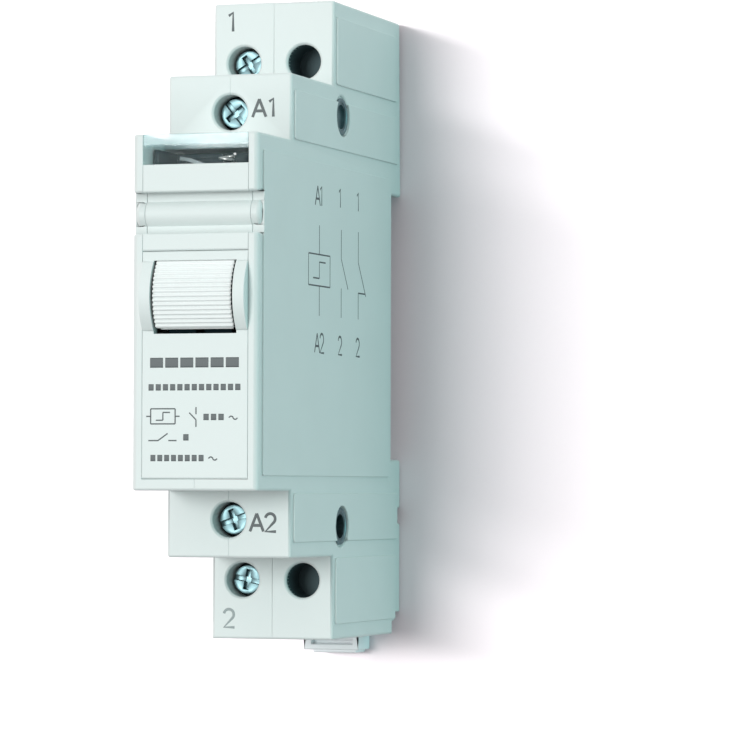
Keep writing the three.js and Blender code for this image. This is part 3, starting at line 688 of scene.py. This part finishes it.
def rib_tree():
    """A sheet of ribs bent round an axis: four rows of faces to a rib, drawn in at both ends."""
    tree = Shape(
        "rib_tree", Radius=7.0 * MM, Ribs=70, Depth=0.1 * MM, Half=5.0 * MM, Round=0.15 * MM,
        Low=-0.6, High=1.8, Centre=(0.0, 0.0, 0.0),
    )
    given = tree.given
    size = {"Size X": 2.0, "Size Y": 1.0, "Vertices X": 15, "Vertices Y": given("Ribs") * 4}
    sheet = tree.add("GeometryNodeMeshGrid", None, size)
    flat = tree.add("ShaderNodeSeparateXYZ", None, {0: tree.add("GeometryNodeInputPosition")})
    inner = 1 - tree.maths("ABSOLUTE", flat.out("X"))
    margin = tree.maths("POWER", inner, 3.0) * given("Half")
    x = (given("Half") - margin) * tree.maths("SIGN", flat.out("X"))
    lean = 1 - tree.maths("MINIMUM", margin / given("Round"), 1.0)
    drop = (1 - tree.maths("SQRT", 1 - lean * lean)) * given("Round")
    angle = given("Low") + (flat.out("Y") + 0.5) * (given("High") - given("Low"))
    wave = tree.maths("COSINE", angle * given("Ribs"))
    groove = tree.maths("POWER", (1 - wave) * 0.5, 1.8)
    radius = given("Radius") - groove * given("Depth") - drop
    y = radius * tree.maths("COSINE", angle) * -1
    z = radius * tree.maths("SINE", angle)
    place = tree.sum(tree.vector(x, y, z), given("Centre"))
    bent = tree.add("GeometryNodeSetPosition", None, {"Geometry": sheet, "Position": place})
    tree.end(bent, barrel_skin)
    return tree


def ribbed_skin():
    """The ribs as one piece with a wall behind them."""
    item = rib_tree().grow(
        "manual_barrel_ribs", Radius=BARREL_R, Ribs=RIBS, Depth=RIB_DEPTH, Half=BARREL_HALF * MM,
        Low=RIB_LOW, High=RIB_HIGH, Centre=barrel_axis,
    )
    wall = item.modifiers.new("wall", "SOLIDIFY")
    wall.thickness, wall.offset = RIB_WALL, -1
    return sharpened(item, 60)


def barrel_core():
    """The CAD barrel with its rib points drawn in under the skin."""
    body = merged("manual_barrel")
    for vertex in body.verts:
        arm = vertex.co - barrel_axis
        radius = math.hypot(arm.y, arm.z)
        if abs(radius - BARREL_R) < 0.3 * MM and arm.y < 0.3 * BARREL_R:
            inset = INSET_BELOW if arm.z < 0 else INSET_ABOVE
            shrink = (BARREL_R - inset * MM) / radius
            vertex.co.y = barrel_axis.y + arm.y * shrink
            vertex.co.z = barrel_axis.z + arm.z * shrink
        if abs(abs(vertex.co.x) - BARREL_HALF * MM) < 0.01 * MM:
            vertex.co.x *= CORE_HALF / BARREL_HALF
    # The black is painted shade that keeps the gap round the barrel dark.
    return rounded("manual_barrel_core", body, dark_and_painted_shade_skin, lambda edge: 0.05)


ribs = ribbed_skin()
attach(ribs, "barrel")
stand_for(barrel_core(), "manual_barrel", "barrel")
print("ribs per turn:", RIBS, "skin faces:", len(ribs.data.polygons))

# %% [markdown]
# ## Terminal screws
#
# Each clamp has a captive screw whose head takes a flat blade or a cross. The head is a slightly
# tapered disc less a long slot and a short cross bar. The thread is a helix swept with a
# three-sided section. The same tree makes all four, each at its own place and turned its own
# way, as the fitter's screwdriver left them, and a bevel breaks the cut edges.

# %% Screws
def screw_tree():
    """A screw that is made along Z with its head up, turned, and then laid to face the front."""
    tree = Shape(
        "screw_tree", Head=2.0 * MM, Depth=1.3 * MM, Shank=1.3 * MM, Length=6.0 * MM, Pitch=0.6 * MM,
        Place=(0.0, 0.0, 0.0), Turn=0.0,
    )
    given = tree.given
    head, depth, length, pitch = (given(name) for name in ("Head", "Depth", "Length", "Pitch"))

    def bar(width, reach, deep):
        return tree.add("GeometryNodeMeshCube", None, {"Size": tree.vector(reach, width, deep)})

    disc = {"Vertices": 56, "Radius Top": head * 0.9, "Radius Bottom": head, "Depth": depth}
    blank = tree.lifted(tree.add("GeometryNodeMeshCone", {"fill_type": "NGON"}, disc), depth * -1)
    less = {"operation": "DIFFERENCE", "solver": "EXACT"}
    cut_head = tree.add("GeometryNodeMeshBoolean", less, {"Mesh 1": blank})
    slot = bar(head * 0.32, head * 3, depth * 0.9)
    cross = bar(head * 1.3, head * 0.34, depth * 1.3)
    for cutter in (slot, cross):
        tree.tree.links.new(cutter.socket, cut_head.socket.node.inputs["Mesh 2"])

    core = given("Shank") - pitch * 0.3
    shank = tree.lifted(tree.drum(40, core, length - depth * 0.5), (length + depth * 0.5) * -0.5)
    run = length - depth - pitch * 1.4
    helix = tree.spiral(32, run / pitch, core, run)
    thread = tree.swept(helix, tree.circle(3, pitch * 0.4), capped=True)
    whole = tree.joined(cut_head, shank, tree.lifted(thread, (length - pitch * 0.5) * -1))
    turned = tree.moved(whole, Rotation=tree.vector(0.0, 0.0, given("Turn")))
    laid = tree.moved(turned, Translation=given("Place"), Rotation=(math.pi / 2, 0.0, 0.0))
    tree.end(laid, zinc)
    return tree


SCREW_TURNS = {"1": 0.55, "2": -0.2, "A1": -0.9, "A2": 0.35}
HEAD_GAP, SHANK_RADIUS, SCREW_EASING = 0.02 * MM, 1.33 * MM, 0.05 * MM
screw_shape = screw_tree()
for mark, turn in SCREW_TURNS.items():
    node = f"terminal_screw_{mark}"
    low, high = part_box(node)
    centre = (low + high) / 2
    screw = screw_shape.grow(
        node + "_turned", Head=(high.x - low.x) / 2 - HEAD_GAP, Length=high.y - low.y,
        Shank=SHANK_RADIUS, Place=(centre.x, low.y, centre.z), Turn=turn,
    )
    easing = screw.modifiers.new("easing", "BEVEL")
    easing.width, easing.segments, easing.limit_method = SCREW_EASING, 2, "ANGLE"
    easing.angle_limit = math.radians(50)
    stand_for(sharpened(screw, 35), node, "steel")
    print(screw.name, "faces:", len(screw.data.polygons))

# %% [markdown]
# ## Rivets and the unused pole
#
# Two tubular rivets hold the halves together; each ends in a rolled rim. Modelling the rim by
# hand would leave it lumpy, so the tree sweeps a small circle round a large one for the lip and
# flattens it, with a tube and a plug behind it. The second pole's screw holes are not used on
# this version: each opens on a blind shaft, a tube whose faces look inward, coloured nearly black
# as painted shade for the depth of the hole.

# %% Rivets
def ring_tree():
    """A tube along X with a rolled lip at each end, closed inside by a plug short of its ends."""
    tree = Shape(
        "ring_tree", Radius=2.0 * MM, Lip=0.3 * MM, Bore=1.7 * MM, Half=8.0 * MM, Web=1.0 * MM,
        Place=(0.0, 0.0, 0.0),
    )
    given = tree.given
    radius, lip, bore, half = (given(name) for name in ("Radius", "Lip", "Bore", "Half"))
    rim = tree.swept(tree.circle(72, radius - lip), tree.circle(16, lip))

    def rim_at(height):
        return tree.moved(rim, Scale=(1.0, 1.0, 0.55), Translation=tree.vector(0.0, 0.0, height))

    wall = (radius - lip * 1.6 - bore) * 0.5
    middle = bore + wall
    flat = {"Width": wall * 2, "Height": half * 2}
    section = tree.add("GeometryNodeCurvePrimitiveQuadrilateral", None, flat)
    tube = tree.swept(tree.circle(72, middle), section)
    plug = tree.drum(48, middle, (half - given("Web")) * 2)
    whole = tree.joined(rim_at(half), rim_at(half * -1), tube, plug)
    laid = tree.moved(whole, Translation=given("Place"), Rotation=(0.0, math.pi / 2, 0.0))
    tree.end(laid, zinc)
    return tree


LIP, BORE, SUNK = 0.34 * MM, 1.62 * MM, 0.2 * MM
WEBS = {"rivet_upper": 0.45, "rivet_lower": 4.0}
ring_shape = ring_tree()
for node, web in WEBS.items():
    low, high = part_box(node)
    centre = (low + high) / 2
    rivet = ring_shape.grow(
        node + "_rolled", Radius=(high.z - low.z) / 2, Lip=LIP, Bore=BORE,
        Half=(high.x - low.x) / 2 - SUNK, Web=web * MM, Place=centre,
    )
    stand_for(sharpened(rivet, 50), node, "steel")
    print(rivet.name, "faces:", len(rivet.data.polygons))


def shaft_tree():
    """A blind shaft seen from its mouth: a wall that faces inward, and a web at the far end."""
    tree = Shape("shaft_tree", Radius=2.3 * MM, Depth=5.0 * MM, Place=(0.0, 0.0, 0.0))
    radius, depth = tree.given("Radius"), tree.given("Depth")
    wall = tree.drum(64, radius, depth, ends="NONE")
    inward = tree.add("GeometryNodeFlipFaces", None, {"Mesh": wall})
    disc = {"Vertices": 64, "Radius": radius}
    web = tree.add("GeometryNodeMeshCircle", {"fill_type": "NGON"}, disc)
    whole = tree.joined(inward, tree.lifted(web, depth * -0.5))
    laid = tree.moved(whole, Translation=tree.given("Place"), Rotation=(math.pi / 2, 0.0, 0.0))
    tree.end(laid, painted_shade_shaft_skin)
    return tree


COIL_FACE, POLE_FACE = -41.5, -24.8
POLE_X, POLE_Z = 4.2, 34.3
SHAFT_SUNK, SHAFT_DEPTH, SHAFT_RADIUS = 0.5, 4.6, 2.29
SHAFTS = {"pole_shaft_upper": POLE_Z, "pole_shaft_lower": -POLE_Z}
shaft_shape = shaft_tree()
for name, z in SHAFTS.items():
    middle = Vector((POLE_X, POLE_FACE + SHAFT_SUNK + SHAFT_DEPTH / 2, z)) * MM
    shaft = shaft_shape.grow(name, Radius=SHAFT_RADIUS * MM, Depth=SHAFT_DEPTH * MM, Place=middle)
    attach(sharpened(shaft, 50), "case")
print("unused holes closed:", len(SHAFTS))

# %% [markdown]
# ## Springs and the coil
#
# Return springs and the coil are all one idea: a wire on a helix. One tree draws it from a
# radius, a wire gauge, a height and a number of turns, and stands it on its base. The coil is
# one outer layer of fine wire, all that the bobbin shows. The armature's spring is given a mesh
# of its own.

# %% Springs and coil
def helix_tree(skin):
    """A round wire on an upright helix that stands on a base."""
    tree = Shape(
        "helix_tree", Radius=1.0 * MM, Wire=0.3 * MM, Height=5.0 * MM, Turns=6.0, Steps=24,
        Base=(0.0, 0.0, 0.0),
    )
    given = tree.given
    half_wire = given("Wire") * 0.5
    rise = given("Height") - given("Wire")
    line = tree.spiral(given("Steps"), given("Turns"), given("Radius"), rise)
    wire = tree.swept(line, tree.circle(8, half_wire), capped=True)
    base = tree.sum(given("Base"), tree.vector(0.0, 0.0, half_wire))
    tree.end(tree.moved(wire, Translation=base), skin)
    return tree


spring_shape, winding_shape = helix_tree(spring_steel), helix_tree(winding_wire)


def foot_of(node):
    """The middle of the underside of a part's box."""
    low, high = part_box(node)
    return ((low.x + high.x) / 2, (low.y + high.y) / 2, low.z)


def coiled(node, shape, wire, turns, steps, slot):
    """A helix of a wire in mm that fills a part's upright box."""
    low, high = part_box(node)
    item = shape.grow(
        node + "_wire", Radius=(high.x - low.x) / 2 - wire * MM / 2, Wire=wire * MM,
        Height=high.z - low.z, Turns=float(turns), Steps=steps, Base=foot_of(node),
    )
    stand_for(sharpened(item, 60), node, slot)
    print(item.name, "faces:", len(item.data.polygons))
    return item


coiled("barrel_spring", spring_shape, 0.34, 11, 28, "steel")
pressed = coiled("armature_spring", spring_shape, 0.3, 5, 28, "steel")
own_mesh(pressed)
coiled("coil_winding", winding_shape, 0.3, 58, 40, "copper")

# %% [markdown]
# ## The works inside and the clip behind
#
# Everything else is stamped, turned or moulded, and hidden until a joint moves or the case is
# cut. Each is its CAD part with the edges its process leaves: a stamping breaks its edges by
# a few hundredths, a moulding by more. One table says the finish and the edge of each.

# %% Inner parts
# The window mask is a black sheet behind the pane: painted shade for the deep room behind the window.
WORKS = {
    "window_mask": (dark_and_painted_shade_skin, "flag", 0.06), "indicator_flag": (dark_and_painted_shade_skin, "flag", 0.08),
    "rail_clip": (clip_skin, "clip", 0.18), "coil_bobbin": (bobbin_skin, "bobbin", 0.1),
    "magnet_core": (soft_iron, "iron", 0.06), "yoke": (soft_iron, "iron", 0.08),
    "armature": (soft_iron, "iron", 0.06), "shading_ring": (copper_strip, "copper", 0.05),
    "armature_arm": (cream_skin, "mechanism", 0.08), "pawl_pin": (spring_steel, "steel", 0.05),
    "drive_pawl": (spring_steel, "steel", 0.04), "ratchet_wheel": (spring_steel, "steel", 0.04),
    "contact_cam": (cream_skin, "mechanism", 0.06), "wheel_axle": (spring_steel, "steel", 0.05),
    "ratchet_detent": (spring_steel, "steel", 0.03), "contact_lever": (lever_skin, "lever", 0.1),
    "lever_pin": (spring_steel, "steel", 0.05), "contact_blade": (copper_strip, "copper", 0.03),
    "moving_contact": (contact_silver, "silver", 0.08), "fixed_contact": (contact_silver, "silver", 0.08),
    "terminal_bar_1": (copper_strip, "copper", 0.06), "terminal_bar_2": (copper_strip, "copper", 0.06),
    "coil_bar_A1": (brass_strip, "brass", 0.06), "coil_bar_A2": (brass_strip, "brass", 0.06),
    "clamp_cage_1": (zinc, "steel", 0.07), "clamp_cage_2": (zinc, "steel", 0.07),
    "clamp_cage_A1": (zinc, "steel", 0.07), "clamp_cage_A2": (zinc, "steel", 0.07),
}
for node, (skin, slot, width) in WORKS.items():
    finished = rounded(node + "_finished", merged(node), skin, lambda edge: width, segments=2)
    stand_for(finished, node, slot)
print("inner parts:", len(WORKS))

# %% [markdown]
# ## Prints
#
# Pad printing lays ink a few hundredths of a millimetre thick. Each print is a set of strokes,
# written as points in its own plane in mm, and one tree inks them: it sweeps a round nib along
# each stroke and squashes the result to the ink's thickness. Only plain terminal numbers and the
# usual circuit symbols are printed; where a maker would print a name there are plain blocks. The
# same pen draws the flag's painted reflection.

# %% The pen
def ink_tree(skin):
    """Strokes swept with a round nib, squashed to the ink's thickness and set on a face."""
    tree = Shape(
        "ink_tree", drawn=True, Width=0.25 * MM, Proud=0.02 * MM, Place=(0.0, 0.0, 0.0),
        Facing=(0.0, 0.0, 0.0),
    )
    given = tree.given
    half_width = given("Width") * 0.5
    line = tree.add("GeometryNodeMeshToCurve", None, {"Mesh": given("Strokes")})
    round_line = tree.swept(line, tree.circle(10, half_width), capped=True)
    flat_line = tree.moved(round_line, Scale=tree.vector(1.0, 1.0, given("Proud") / half_width))
    placed = tree.moved(flat_line, Translation=given("Place"), Rotation=given("Facing"))
    tree.end(placed, skin)
    return tree


FRONT, SIDE = (math.pi / 2, 0.0, 0.0), (math.pi / 2, 0.0, math.pi / 2)
PENS = {"dark": ink_tree(dark_ink), "pale": ink_tree(pale_ink), "flag": ink_tree(painted_reflection_ink)}


def arc(x, y, radius, start, end, steps=14):
    """Points round a centre, from one angle in degrees to another."""
    turns = (math.radians(start + (end - start) * i / steps) for i in range(steps + 1))
    return [(x + radius * math.cos(turn), y + radius * math.sin(turn)) for turn in turns]


def glyph(mark, x, y, height):
    """A plain one-line character with its foot at x, y."""
    shapes = {
        "A": [[(0, 0), (0.4, 1)], [(0.4, 1), (0.8, 0)], [(0.15, 0.34), (0.65, 0.34)]],
        "1": [[(0, 0.84), (0.24, 1), (0.24, 0)]],
        "2": [arc(0.3, 0.71, 0.29, 170, -40) + [(0.02, 0), (0.64, 0)]],
        "~": [arc(0.2, 0.36, 0.2, 160, 20) + arc(0.56, 0.5, 0.2, 200, 340)],
    }
    return [[(x + u * height, y + v * height) for u, v in stroke] for stroke in shapes[mark]]


def inked(name, pen, strokes, width, place, facing, body="case"):
    """Strokes in mm printed on a plane through a place in mm."""
    points, edges = [], []
    for stroke in strokes:
        edges += [(len(points) + i, len(points) + i + 1) for i in range(len(stroke) - 1)]
        points += [(u * MM, v * MM, 0) for u, v in stroke]
    item = PENS[pen].grow(name, Width=width * MM, Place=Vector(place) * MM, Facing=facing)
    item.data.from_pydata(points, edges, [])
    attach(settled(item), body)
    print(name, "faces:", len(item.data.polygons))


# %% [markdown]
# ## The terminal marks
#
# A fitter finds the wires by these numbers: 1 and 2 for the contact, A1 and A2 for the coil.
# They stand on the faces beside the screws, so each is placed in mm on its own face.

# %% Terminal marks
a_marks = glyph("A", 3.07, 25.5, 2.3) + glyph("1", 5.35, 25.5, 2.3)
a_marks += glyph("A", 2.91, -27.7, 2.3) + glyph("2", 4.98, -27.7, 2.3)
inked("coil_marks", "dark", a_marks, 0.38, (0, COIL_FACE, 0), FRONT)
inked("pole_mark_upper", "dark", glyph("1", -6.4, 38.65, 2.5), 0.38, (0, POLE_FACE, 0), FRONT)
inked("pole_mark_lower", "pale", glyph("2", -6.82, -40.6, 2.4), 0.36, (0, POLE_FACE, 0), FRONT)

# %% [markdown]
# ## The circuit on the side
#
# The side shows the relay's circuit: a coil box with the step sign, and its contacts. Boxes and
# slants are only more strokes, so the pen that prints the numbers draws them too.

# %% Circuit diagram
def outline(x0, y0, x1, y1):
    """The four sides of a box between two corners."""
    return [[(x0, y0), (x1, y0)], [(x1, y0), (x1, y1)], [(x1, y1), (x0, y1)], [(x0, y1), (x0, y0)]]


def step_coil(x0, y0, x1, y1):
    """A coil box with the step sign of a latching drive inside."""
    u, v = (x1 - x0) * 0.12, (y1 - y0) * 0.26
    x, y = (x0 + x1) / 2, (y0 + y1) / 2
    tread_low = [(x - 2.4 * u, y - v), (x, y - v)]
    riser = [(x, y - v), (x, y + v)]
    tread_high = [(x, y + v), (x + 2.4 * u, y + v)]
    return outline(x0, y0, x1, y1) + [tread_low, riser, tread_high]


side_marks = glyph("A", -33.0, 14.7, 2.5) + glyph("1", -31.0, 14.7, 2.5)
side_marks += glyph("1", -23.4, 15.0, 2.4) + glyph("1", -15.9, 15.0, 2.4)
side_marks += glyph("A", -33.1, -4.5, 2.5) + glyph("2", -31.0, -4.5, 2.5)
side_marks += glyph("2", -23.6, -4.5, 2.4) + glyph("2", -16.2, -4.5, 2.4)
inked("side_marks", "dark", side_marks, 0.3, (PANEL_HALF, 0, 0), SIDE)
diagram = [[(-31.3, 12.1), (-31.3, 8.3)], [(-31.3, 4.2), (-31.3, 0.3)]]
diagram += step_coil(-35.6, 4.2, -27.0, 8.3)
diagram += [[(-22.4, 12.05), (-22.4, 8.2)], [(-22.4, 8.2), (-19.6, 4.3)], [(-22.4, 4.3), (-22.4, 0.4)]]
diagram += [[(-15.3, 12.2), (-15.3, 8.1)], [(-15.3, 8.1), (-12.1, 3.7)], [(-15.3, 0.5), (-15.3, 4.0)]]
diagram += [[(-15.3, 4.0), (-12.3, 4.0)]]
inked("side_diagram", "dark", diagram, 0.2, (PANEL_HALF, 0, 0), SIDE)

# %% [markdown]
# ## The label
#
# The circuit's symbols, smaller, head the label, and plain blocks stand in rows below them and
# above, where words would be. A block is a short thick stroke, so a row is a length, a pitch and
# the share of the pitch that is inked.

# %% Label
def blocks(x0, x1, y, pitch, fill=0.72):
    """A row of plain blocks between two places."""
    count = round((x1 - x0) / pitch)
    step = (x1 - x0) / count
    return [[(x0 + i * step, y), (x0 + (i + fill) * step, y)] for i in range(count)]


fine = step_coil(-5.9, -14.1, -2.6, -12.2)
fine += [[(-6.5, -13.15), (-5.9, -13.15)], [(-2.6, -13.15), (-2.0, -13.15)]]
fine += [[(0.2, -12.0), (0.2, -12.9)], [(0.2, -13.6), (0.2, -14.5)], [(0.2, -13.6), (-0.7, -12.7)]]
fine += [[(-6.2, -16.2), (-4.9, -16.2)], [(-4.9, -16.2), (-3.6, -15.3)], [(-3.5, -16.2), (-2.4, -16.2)]]
fine += glyph("~", 4.6, -14.0, 1.5) + glyph("~", 1.9, -19.1, 1.5)
inked("label_symbols", "dark", fine, 0.17, (0, FRONT_Y, 0), FRONT)
name_row = blocks(-6.0, 6.2, -6.4, 2.1, 0.86)
inked("label_name_blocks", "dark", name_row, 1.25, (0, FRONT_Y, 0), FRONT)
rows = blocks(-6.2, 6.4, -9.5, 0.97) + blocks(1.2, 4.2, -13.25, 0.97)
rows += blocks(-5.9, 1.5, -18.4, 0.97) + blocks(-1.5, -0.5, -15.8, 0.97)
inked("label_blocks", "dark", rows, 0.8, (0, FRONT_Y, 0), FRONT)

# %% [markdown]
# ## The flag behind the window
#
# The flag tips with the contact lever to show the state. It is matt black, and a pale streak on
# it is a painted reflection, the gloss a curved face would show; the streak rides with the flag.

# %% Flag's painted reflection
flag_low, flag_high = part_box("indicator_flag")
flag_left = flag_low.x / MM
flag_width = flag_high.x / MM - flag_left
REFLECTION_TOP, REFLECTION_DROP = 20.05, 1.5
REFLECTION_STEPS = (0.06, 0.2, 0.35, 0.5, 0.65, 0.8, 0.94)


def reflection_point(along):
    """A point of the painted reflection, which falls in a soft S from left to right."""
    fall = 0.5 - 0.5 * math.cos(math.pi * along)
    return flag_left + flag_width * along, REFLECTION_TOP - REFLECTION_DROP * fall


# The streak is a painted reflection, the gloss a curved face would show, printed on the flag.
reflection_streak = [[reflection_point(along) for along in REFLECTION_STEPS]]
inked("flag_painted_reflection", "flag", reflection_streak, 0.5, (0, flag_low.y / MM, 0), FRONT, body="contact_lever")
